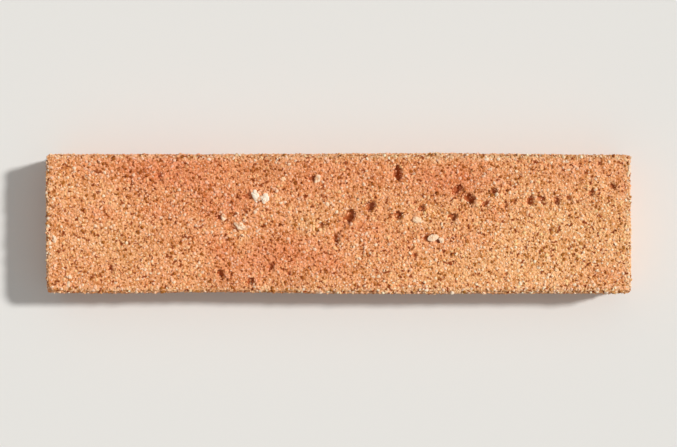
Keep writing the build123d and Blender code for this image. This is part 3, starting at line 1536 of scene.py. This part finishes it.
    def losses(self, bench: NodeBench, place: Socket, source: Any) -> Socket:
        """Add the nodes of the small bits that broke or fell out of the clay.

        Args:
            bench: The tree's bench.
            place: The place on the clay.
            source: The tree's inputs.

        Returns:
            How much is lost at the place, from 0 to 1.
        """
        seed = bench.math("ADD", source["Seed"], 21.0)
        uneven = bench.noise(place, source["Nibble Size"], seed)
        arris = bench.ramp(bench.mark(Mark.ARRIS), *self.nibble_arris, 0.0, self.nibble_depth)
        nibbled = bench.math("MULTIPLY", bench.ramp(uneven, *self.nibble_noise), arris)
        distance, colour = bench.cells(place, source["Pinhole Spacing"])
        draws = bench.parts(colour)
        chosen = bench.math("GREATER_THAN", draws[0], self.pinhole_rare)
        smallest, spread = self.pinhole_radius
        radius = bench.math("MULTIPLY_ADD", draws[1], spread, smallest)
        middle = bench.math("MULTIPLY", radius, self.pinhole_floor)
        pinholes = bench.math("MULTIPLY", bench.ramp(distance, middle, radius, 1.0, 0.0), chosen)
        ragged = bench.ramp(uneven, 0.3, 0.7, *self.socket_ragged)
        sockets = bench.math("MULTIPLY", bench.mark(Mark.SOCKET), ragged)
        lost = bench.math("MAXIMUM", nibbled, pinholes)
        return bench.math("MAXIMUM", lost, bench.math("MINIMUM", sockets, 1.0))


def finish_mesh(bench: NodeBench, shape: Socket, finish: Socket, result: bpy.types.Node) -> None:
    """End a geometry tree: make its instances real and give them their material.

    Args:
        bench: The tree's bench.
        shape: The geometry.
        finish: The material.
        result: The tree's output node.
    """
    realized = bench.add("GeometryNodeRealizeInstances", {0: shape}).outputs[0]
    feeds = {"Geometry": realized, "Material": finish}
    bench.feed(result, 0, bench.add("GeometryNodeSetMaterial", feeds).outputs[0])


@dataclass(frozen=True)
class Clay:
    """The slip's clay, which stands in for the solid.

    Attributes:
        size: The slip's overall size.
        stones: The pale stones in its face.
        relief: The relief of its surface.
        upright: How far a normal points up or down where the face or the back is.
        face_strip: Foot and height of the face's strip of the bake map.
        back_strip: Those of the back's.
        ends_strip: Those of the two ends'.
        lower_strip: Those of the long side under the face.
        upper_strip: Those of the long side above it.
    """

    size: SlipSize
    stones: tuple[Stone, ...]
    relief: ClayRelief = ClayRelief()
    upright: float = 0.7
    face_strip: tuple[float, float] = (0.50, 0.49)
    back_strip: tuple[float, float] = (0.00, 0.14)
    ends_strip: tuple[float, float] = (0.16, 0.09)
    lower_strip: tuple[float, float] = (0.27, 0.09)
    upper_strip: tuple[float, float] = (0.38, 0.09)

    def build(self, finish: bpy.types.Material) -> bpy.types.Object:
        """Build the clay.

        Args:
            finish: Its material.

        Returns:
            The finished piece.
        """
        lattice = ClayLattice(self.size)
        points, faces = lattice.build()
        mesh = bpy.data.meshes.new("clay")
        mesh.from_pydata(points.tolist(), [], faces)
        mesh.update()
        ClayMarks(lattice, self.stones).store(mesh, points)
        mesh.polygons.foreach_set("use_smooth", [len(face) == 4 for face in faces])
        clay = placed("clay", mesh)
        clay.data = self.relief.applied(clay, finish)
        self.unwrap(clay.data)
        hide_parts(SOLID)
        return clay

    def unwrap(self, mesh: bpy.types.Mesh) -> None:
        """Give the clay its bake map, with the face above, then the sides, then the back.

        Args:
            mesh: The clay's mesh.
        """
        places, normals = corner_places(mesh)
        share = self.size.shares(places)
        upward = normals[:, 2] > self.upright
        downward = normals[:, 2] < -self.upright
        endways = (np.abs(normals[:, 0]) > np.abs(normals[:, 1])) & ~upward & ~downward
        map_u = np.where(endways, end_places(share[:, 1], normals[:, 0] > 0), share[:, 0])
        where = [upward, downward, endways, normals[:, 1] < 0]
        strips = [self.face_strip, self.back_strip, self.ends_strip, self.lower_strip]
        foot = np.select(where, [strip[0] for strip in strips], self.upper_strip[0])
        tall = np.select(where, [strip[1] for strip in strips], self.upper_strip[1])
        rise = np.where(upward | downward, share[:, 1], share[:, 2])
        store_map(mesh, map_u, foot + tall * rise)


def placed(name: str, mesh: bpy.types.Mesh) -> bpy.types.Object:
    """Put a mesh into the scene as a piece of the slip.

    Args:
        name: The piece's name.
        mesh: Its mesh.

    Returns:
        The piece.
    """
    mesh.name = name
    piece = bpy.data.objects.new(name, mesh)
    bpy.context.scene.collection.objects.link(piece)
    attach(piece, BODY)
    return piece


def corner_places(mesh: bpy.types.Mesh) -> tuple[np.ndarray, np.ndarray]:
    """Read where each corner of each face lies.

    Args:
        mesh: The mesh.

    Returns:
        For each corner, its place and its face's normal.
    """
    places = np.empty(len(mesh.vertices) * 3)
    mesh.vertices.foreach_get("co", places)
    indices = np.empty(len(mesh.loops), int)
    mesh.loops.foreach_get("vertex_index", indices)
    normals = np.empty(len(mesh.polygons) * 3)
    mesh.polygons.foreach_get("normal", normals)
    totals = np.empty(len(mesh.polygons), int)
    mesh.polygons.foreach_get("loop_total", totals)
    return places.reshape(-1, 3)[indices], np.repeat(normals.reshape(-1, 3), totals, axis=0)


def end_places(up: np.ndarray, right: np.ndarray) -> np.ndarray:
    """Lay the slip's two ends side by side across the bake map.

    Args:
        up: Each face corner's place up the end, from 0 to 1.
        right: Whether it is on the right end.

    Returns:
        Its place across the map.
    """
    left_start, right_start, width = 0.02, 0.52, 0.45
    return np.where(right, right_start, left_start) + width * up


def store_map(mesh: bpy.types.Mesh, map_u: np.ndarray, map_v: np.ndarray) -> None:
    """Store a mesh's bake map.

    Args:
        mesh: The mesh.
        map_u: Each face corner's place across the map.
        map_v: Each face corner's place up the map.
    """
    layer = mesh.uv_layers.get(BAKE_MAP) or mesh.uv_layers.new(name=BAKE_MAP)
    layer.uv.foreach_set("vector", np.column_stack([map_u, map_v]).astype(np.float32).ravel())


# Sand, crumbs and grit


@dataclass(frozen=True)
class Strewing:
    """Geometry nodes that strew grains over the clay wherever a mark says.

    Attributes:
        grain: The grains' shape.
        variants: How many different grains of that shape there are.
        wear_size: Size of the wear on a grain that is one unit across.
        skew: How strongly small grains outnumber large ones, from 1 for not at all.
        slimmest: Least stretch of a grain along its three axes.
        widest: Most stretch along them.
        tilt: Most that a grain is tilted, in radians.
    """

    grain: Grain
    variants: int = 3
    wear_size: float = 0.6
    skew: float = 1.8
    slimmest: tuple[float, float, float] = (0.8, 0.7, 0.6)
    widest: tuple[float, float, float] = (1.3, 1.1, 0.95)
    tilt: float = 0.5

    def tree(self) -> bpy.types.NodeTree:
        """Build the tree.

        Returns:
            The tree.
        """
        inputs = {
            "Geometry": ("NodeSocketGeometry", None),
            "Where": ("NodeSocketString", ""),
            "Spacing": ("NodeSocketFloat", 1.0 * MM),
            "Density": ("NodeSocketFloat", 1e6),
            "Smallest": ("NodeSocketFloat", 0.5 * MM),
            "Largest": ("NodeSocketFloat", 1.0 * MM),
            "Sink": ("NodeSocketFloat", 0.1),
            "Seed": ("NodeSocketInt", 0),
            "Finish": ("NodeSocketMaterial", None),
        }
        name = f"strewn_{self.grain.name.lower()}_grains"
        outputs = {"Geometry": "NodeSocketGeometry"}
        bench = new_group("GeometryNodeTree", name, inputs, outputs)
        source, result = ends(bench)
        places = self.places(bench, source)
        shapes = bench.add("GeometryNodeGeometryToInstance")
        for variant in range(self.variants):
            bench.feed(shapes, 0, self.shape(bench, variant, source["Sink"]))
        seed = source["Seed"]
        feeds = {
            "Points": places["Points"],
            "Instance": shapes.outputs[0],
            "Pick Instance": True,
            "Instance Index": self.draw(bench, "INT", 0, self.variants - 1, seed, Draw.SHAPE),
            "Rotation": self.turned(bench, places["Rotation"], seed),
            "Scale": self.grading(bench, source),
        }
        strewn = bench.add("GeometryNodeInstanceOnPoints", feeds).outputs[0]
        tint = self.draw(bench, "FLOAT", 0.0, 1.0, seed, Draw.TINT)
        tinted = bench.stored(strewn, TINT, tint, "INSTANCE")
        finish_mesh(bench, tinted, source["Finish"], result)
        return bench.tree

    def places(self, bench: NodeBench, source: Any) -> Any:
        """Add the node that finds the grains' places.

        Args:
            bench: The tree's bench.
            source: The tree's inputs.

        Returns:
            The node's outputs: the points and how each is turned to stand on the clay.
        """
        whole = bench.math("SUBTRACT", 1.0, bench.mark(Mark.LOST))
        feeds = {
            "Mesh": source["Geometry"],
            "Distance Min": source["Spacing"],
            "Density Max": source["Density"],
            "Density Factor": bench.math("MULTIPLY", bench.attribute(source["Where"]), whole),
            "Seed": source["Seed"],
        }
        kind = "GeometryNodeDistributePointsOnFaces"
        return bench.add(kind, feeds, distribute_method="POISSON").outputs

    def shape(self, bench: NodeBench, variant: int, sink: Socket) -> Socket:
        """Add the nodes of one grain, about one unit across.

        Args:
            bench: The tree's bench.
            variant: Which of the grains it is.
            sink: How far its middle lies below its place.

        Returns:
            The grain.
        """
        subdivisions, slope, start = self.grain.value
        feeds = {"Radius": 0.5, "Subdivisions": subdivisions}
        ball = bench.add("GeometryNodeMeshIcoSphere", feeds).outputs[0]
        place = bench.add("GeometryNodeInputPosition").outputs[0]
        noise = bench.noise(place, self.wear_size, seed=2.7 * variant)
        wear = bench.math("MULTIPLY_ADD", noise, slope, start)
        drop = bench.math("MULTIPLY", sink, -1.0)
        lowered = bench.add("ShaderNodeCombineXYZ", {"Z": drop}).outputs[0]
        worn = bench.vector("ADD", bench.scaled(place, wear), lowered)
        feeds = {"Geometry": ball, "Position": worn}
        shaped = bench.add("GeometryNodeSetPosition", feeds).outputs[0]
        feeds = {0: shaped, "Shade Smooth": self.grain is Grain.ROUNDED}
        return bench.add("GeometryNodeSetShadeSmooth", feeds).outputs[0]

    def draw(self, bench: NodeBench, kind: str, low: Any, high: Any,
             seed: Socket, use: Draw) -> Socket:
        """Add a random draw for each grain.

        Args:
            bench: The tree's bench.
            kind: Blender's name of the drawn value's type.
            low: Lowest value.
            high: Highest value.
            seed: The tree's seed.
            use: What is drawn.

        Returns:
            The drawn value.
        """
        # The node has two inputs and one output for each type, of which only these show
        first, out = {"FLOAT_VECTOR": (0, 0), "FLOAT": (2, 1), "INT": (4, 2)}[kind]
        feeds = {first: low, first + 1: high, "Seed": bench.math("ADD", seed, float(use.value))}
        return bench.add("FunctionNodeRandomValue", feeds, data_type=kind).outputs[out]

    def grading(self, bench: NodeBench, source: Any) -> Socket:
        """Add the nodes of the grains' sizes, with more small grains than large ones.

        Args:
            bench: The tree's bench.
            source: The tree's inputs.

        Returns:
            The size of a grain along its three axes.
        """
        seed = source["Seed"]
        even = self.draw(bench, "FLOAT", 0.0, 1.0, seed, Draw.SIZE)
        skewed = bench.math("POWER", even, self.skew)
        span = bench.math("SUBTRACT", source["Largest"], source["Smallest"])
        across = bench.math("MULTIPLY_ADD", skewed, span, source["Smallest"])
        kind = "FLOAT_VECTOR"
        stretch = self.draw(bench, kind, self.slimmest, self.widest, seed, Draw.STRETCH)
        return bench.scaled(stretch, across)

    def turned(self, bench: NodeBench, upright: Socket, seed: Socket) -> Socket:
        """Add the nodes that give each grain a turn and a tilt of its own.

        Args:
            bench: The tree's bench.
            upright: The rotation that stands it on the clay.
            seed: The tree's seed.

        Returns:
            The grain's rotation.
        """
        least, most = (-self.tilt, -self.tilt, 0.0), (self.tilt, self.tilt, math.tau)
        turn = self.draw(bench, "FLOAT_VECTOR", least, most, seed, Draw.TURN)
        euler = bench.add("FunctionNodeEulerToRotation", {0: turn}).outputs[0]
        feeds = {"Rotation": upright, "Rotate By": euler}
        return bench.add("FunctionNodeRotateRotation", feeds, rotation_space="LOCAL").outputs[0]


@dataclass(frozen=True)
class SandCoat:
    """One grading of grains strewn over the clay.

    Attributes:
        name: The piece's name.
        size: The slip's overall size.
        where: The mark that says where the grains lie.
        sort: The grains' sort.
        grain: The grains' shape.
        spacing: Least distance between two grains.
        smallest: Smallest grain's size.
        largest: Largest grain's size.
        sink: How far a grain's middle lies below the clay, as a share of its size.
        density: Grains that are tried on a square metre.
        seed: Seed of the coat's random draws.
    """

    name: str
    size: SlipSize
    where: Mark
    sort: Sort
    grain: Grain
    spacing: float
    smallest: float
    largest: float
    sink: float
    density: float
    seed: int

    def build(self, clay: bpy.types.Object, finish: bpy.types.Material) -> bpy.types.Object:
        """Strew the grains.

        Args:
            clay: The clay that they lie on.
            finish: Their material.

        Returns:
            The coat, as one piece.
        """
        values = {
            "Where": self.where.value,
            "Spacing": self.spacing,
            "Density": self.density,
            "Smallest": self.smallest,
            "Largest": self.largest,
            "Sink": self.sink,
            "Seed": self.seed,
            "Finish": finish,
        }
        coat = placed(self.name, applied_nodes(clay, Strewing(self.grain).tree(), values))
        self.unwrap(coat.data)
        return coat

    def unwrap(self, mesh: bpy.types.Mesh) -> None:
        """Give the grains a bake map seen square onto the side that they lie on.

        Args:
            mesh: The coat's mesh.
        """
        places, _ = corner_places(mesh)
        share = self.size.shares(places)
        if self.where is not Mark.SIDE_SAND:
            store_map(mesh, share[:, 0], share[:, 1])
            return
        to_end = self.size.length / 2 - np.abs(places[:, 0])
        to_bed = self.size.height / 2 - np.abs(places[:, 1])
        at_end = to_end < to_bed
        map_u = np.where(at_end, end_places(share[:, 1], places[:, 0] > 0), share[:, 0])
        ends_foot, upper_foot, lower_foot, tall = 0.02, 0.68, 0.36, 0.28
        foot = np.select([at_end, places[:, 1] > 0], [ends_foot, upper_foot], lower_foot)
        store_map(mesh, map_u, foot + tall * share[:, 2])


def coats(size: SlipSize) -> tuple[SandCoat, ...]:
    """List what is strewn over the clay, from coarse to fine.

    Args:
        size: The slip's overall size.

    Returns:
        The coats.
    """
    return (
        SandCoat("face_coarse_sand", size, Mark.FACE_SAND, Sort.COARSE, Grain.ANGULAR,
                 spacing=1.1 * MM, smallest=0.75 * MM, largest=1.6 * MM,
                 sink=0.1, density=4e6, seed=6),
        SandCoat("face_fine_sand", size, Mark.FACE_SAND, Sort.FINE, Grain.ANGULAR,
                 spacing=0.82 * MM, smallest=0.45 * MM, largest=0.95 * MM,
                 sink=0.1, density=5e6, seed=2),
        SandCoat("side_sand", size, Mark.SIDE_SAND, Sort.FINE, Grain.ANGULAR,
                 spacing=1.0 * MM, smallest=0.5 * MM, largest=1.35 * MM,
                 sink=0.05, density=3e6, seed=3),
        SandCoat("crease_crumbs", size, Mark.CRUMBS, Sort.CRUMBS, Grain.ROUNDED,
                 spacing=1.5 * MM, smallest=0.8 * MM, largest=1.3 * MM,
                 sink=0.38, density=1e6, seed=4),
    )


@dataclass(frozen=True)
class PaleGrit:
    """The pale stones that show singly in the face, each where it lies.

    Attributes:
        size: The slip's overall size.
        stones: The stones.
        sink: How far a stone's middle lies below the face, as a share of its width.
        plump: Thickness of a stone as a share of its width.
        fragments: Number of pieces that each stone has crumbled into.
        fragment_size: Size of such a piece as a share of the stone's.
        fragment_range: Size of the smallest and of the largest piece, next to that.
        layering: How far apart the pieces lie in height, as a share of how far they lie
            apart along the face.
        chipping: How unevenly a piece is broken, as a share of its size.
        clefts: Number of flat sides that are broken off each piece.
        cleft_depths: Least and greatest distance of such a side from the piece's middle.
        closeness: Scale that brings the pieces together to the stone's own size.
        seed: Seed of the stones' random chips.
    """

    size: SlipSize
    stones: tuple[Stone, ...]
    sink: float = 0.02
    plump: float = 0.6
    fragments: int = 4
    fragment_size: float = 0.70
    fragment_range: tuple[float, float] = (0.75, 1.1)
    layering: float = 0.3
    chipping: float = 0.10
    clefts: int = 9
    cleft_depths: tuple[float, float] = (0.5, 0.85)
    closeness: float = 0.76
    seed: int = 31

    def build(self, finish: bpy.types.Material) -> bpy.types.Object:
        """Build the stones as one piece.

        Args:
            finish: Their material.

        Returns:
            The grit.
        """
        rng = np.random.default_rng(self.seed)
        ball, sides = unit_ball()
        stones = np.concatenate([self.crumbled(stone, ball, rng) for stone in self.stones])
        points = stones.reshape(-1, 3)
        faces = [side + number * len(ball) for number in range(len(stones)) for side in sides]
        mesh = bpy.data.meshes.new("pale_grit")
        mesh.from_pydata(points.tolist(), [], [face.tolist() for face in faces])
        mesh.update()
        mesh.materials.append(finish)
        stains = np.repeat([stone.stain for stone in self.stones], self.fragments * len(ball))
        attribute = mesh.attributes.new(STAIN, "FLOAT", "POINT")
        attribute.data.foreach_set("value", stains.astype(np.float32))
        share = self.size.shares(corner_places(mesh)[0])
        store_map(mesh, share[:, 0], share[:, 1])
        return placed("pale_grit", mesh)

    def crumbled(self, stone: Stone, ball: np.ndarray, rng: np.random.Generator) -> np.ndarray:
        """Shape one stone out of the pieces that it has crumbled into.

        Args:
            stone: The stone.
            ball: Points of a ball of radius one.
            rng: The source of its random chips.

        Returns:
            The points of each of its pieces.
        """
        apart = (1 - self.fragment_size) * np.array([1.0, 1.0, self.layering])
        start = rng.uniform(0, math.tau)
        pieces = []
        for number in range(self.fragments):
            round_it = start + math.tau * number / self.fragments
            place = np.array([math.cos(round_it), math.sin(round_it), rng.uniform(-1, 1)])
            size = self.fragment_size * rng.uniform(*self.fragment_range)
            pieces.append(size * self.broken(ball, rng) + place * apart)
        lumps = np.stack(pieces) * [stone.size, stone.width, self.plump * stone.width]
        turn = math.radians(stone.slant)
        spin = np.array([[math.cos(turn), math.sin(turn)], [-math.sin(turn), math.cos(turn)]])
        lumps[..., :2] = lumps[..., :2] @ spin
        level = (self.size.thickness - SAND_BED) / MM
        middle = [stone.x, stone.y, level - self.sink * stone.width]
        return (self.closeness * lumps + middle) * MM

    def broken(self, ball: np.ndarray, rng: np.random.Generator) -> np.ndarray:
        """Break one piece at random out of a ball.

        Args:
            ball: The points of a ball of radius one.
            rng: Source of the random draws.

        Returns:
            The piece's points.
        """
        lump = ball * (1 + self.chipping * rng.standard_normal(len(ball)))[:, None]
        for cleft in rng.standard_normal((self.clefts, 3)):
            cleft /= np.linalg.norm(cleft)
            beyond = np.clip(lump @ cleft - rng.uniform(*self.cleft_depths), 0, None)
            lump -= beyond[:, None] * cleft
        return lump


def unit_ball() -> tuple[np.ndarray, np.ndarray]:
    """Build an evenly faceted ball of radius one.

    Returns:
        Its points and its triangles.
    """
    shape = bmesh.new()
    bmesh.ops.create_icosphere(shape, subdivisions=2, radius=1.0)
    points = np.array([vertex.co for vertex in shape.verts])
    sides = np.array([[vertex.index for vertex in face.verts] for face in shape.faces])
    shape.free()
    return points, sides


# Studio


@dataclass(frozen=True)
class Studio:
    """Pale floor, soft light from the right and from above, and a camera square above.

    Attributes:
        size: The slip's overall size.
        floor_half: Half of the floor's width.
        floor_gap: How far the floor lies below the slip's back, so that they don't mix.
        floor_colour: Colour of the floor and of the room.
        floor_roughness: Roughness of the floor.
        key_height: Height of the key light above the floor, in degrees.
        key_side: How far the key light stands from the slip's long axis, in degrees.
        key_softness: Width of the key light as seen from the slip, in degrees.
        key_power: Strength of the key light.
        overhead_height: Height of the light straight above, in degrees.
        overhead_softness: Width of the light straight above, in degrees.
        overhead_power: Strength of the light straight above.
        room_power: Strength of the light from all round.
        lens: The camera's focal length, in millimetres.
        filled: Share of the picture's width that the slip takes.
    """

    size: SlipSize
    floor_half: float = 3.0
    floor_gap: float = 0.05 * MM
    floor_colour: Colour = linear(228, 226, 221)
    floor_roughness: float = 0.95
    key_height: float = 44.0
    key_side: float = 16.0
    key_softness: float = 6.0
    key_power: float = 2.8
    overhead_height: float = 90.0
    overhead_softness: float = 110.0
    overhead_power: float = 0.7
    room_power: float = 0.17
    lens: float = 85.0
    filled: float = 0.87

    def build(self) -> None:
        """Build the floor, the lights and the camera."""
        self.lay_floor()
        self.hang_lamp("key_light", self.key_power, self.key_softness, self.key_height)
        self.hang_lamp("overhead_light", self.overhead_power, self.overhead_softness,
                       self.overhead_height)
        self.light_room()
        self.set_camera()
        bpy.context.scene.view_settings.view_transform = "Standard"

    def lay_floor(self) -> None:
        """Lay the floor just under the slip."""
        sides = ((-1, -1), (1, -1), (1, 1), (-1, 1))
        corners = [(x * self.floor_half, y * self.floor_half, -self.floor_gap) for x, y in sides]
        mesh = bpy.data.meshes.new("floor")
        mesh.from_pydata(corners, [], [(0, 1, 2, 3)])
        floor = bpy.data.objects.new("floor", mesh)
        bpy.context.scene.collection.objects.link(floor)
        material, bench, shader = new_material("pale_floor")
        bench.feed(shader, "Base Color", self.floor_colour)
        bench.feed(shader, "Roughness", self.floor_roughness)
        mesh.materials.append(material)

    def hang_lamp(self, name: str, power: float, softness: float, height: float) -> None:
        """Hang one distant light.

        Args:
            name: The light's name.
            power: Its strength.
            softness: Its width as seen from the slip, in degrees.
            height: Its height above the floor, in degrees.
        """
        lamp = bpy.data.lights.new(name, "SUN")
        lamp.energy = power
        lamp.angle = math.radians(softness)
        light = bpy.data.objects.new(name, lamp)
        light.rotation_euler = (0.0, math.radians(90 - height), math.radians(self.key_side))
        bpy.context.scene.collection.objects.link(light)

    def light_room(self) -> None:
        """Light the slip evenly from all round, with the room itself as pale as the floor."""
        world = bpy.data.worlds.new("room")
        world.use_nodes = True
        bpy.context.scene.world = world
        bench = NodeBench(world.node_tree)
        rays = bench.add("ShaderNodeLightPath").outputs
        seen = bench.math("MAXIMUM", rays["Is Camera Ray"], rays["Is Glossy Ray"])
        seen = bench.math("MAXIMUM", seen, rays["Is Transmission Ray"])
        background = world.node_tree.nodes["Background"]
        bench.feed(background, "Color", bench.mixed(seen, (1.0, 1.0, 1.0, 1.0), self.floor_colour))
        bench.feed(background, "Strength", bench.ramp(seen, 0.0, 1.0, self.room_power, 1.0))

    def set_camera(self) -> None:
        """Set the camera square above the face, with the slip's length across the picture."""
        lens = bpy.data.cameras.new("camera")
        lens.lens = self.lens
        lens.clip_start = 10 * MM
        camera = bpy.data.objects.new("camera", lens)
        reach = self.size.length / self.filled * self.lens / lens.sensor_width
        camera.location = (0.0, 0.0, self.size.thickness + reach)
        bpy.context.scene.collection.objects.link(camera)
        bpy.context.scene.camera = camera


def report(piece: bpy.types.Object) -> None:
    """Log a piece's name and size."""
    triangles = sum(polygon.loop_total - 2 for polygon in piece.data.polygons)
    LOG.info("%s: %d points, %d triangles", piece.name, len(piece.data.vertices), triangles)


def main() -> None:
    """Build the slip's pieces in order, and the studio round them."""
    logging.basicConfig(level=logging.INFO, format="%(name)s: %(message)s")
    size = SlipSize.from_frame()
    stones = face_stones()
    palette = Palette.mixed(size)
    clay = Clay(size, stones).build(ClayFinish().material(palette))
    report(clay)
    grains = {finish.sort: finish.material(palette) for finish in grain_finishes()}
    for coat in coats(size):
        report(coat.build(clay, grains[coat.sort]))
    report(PaleGrit(size, stones).build(GritFinish().material(palette)))
    Studio(size).build()


if __name__ == "__main__":
    main()
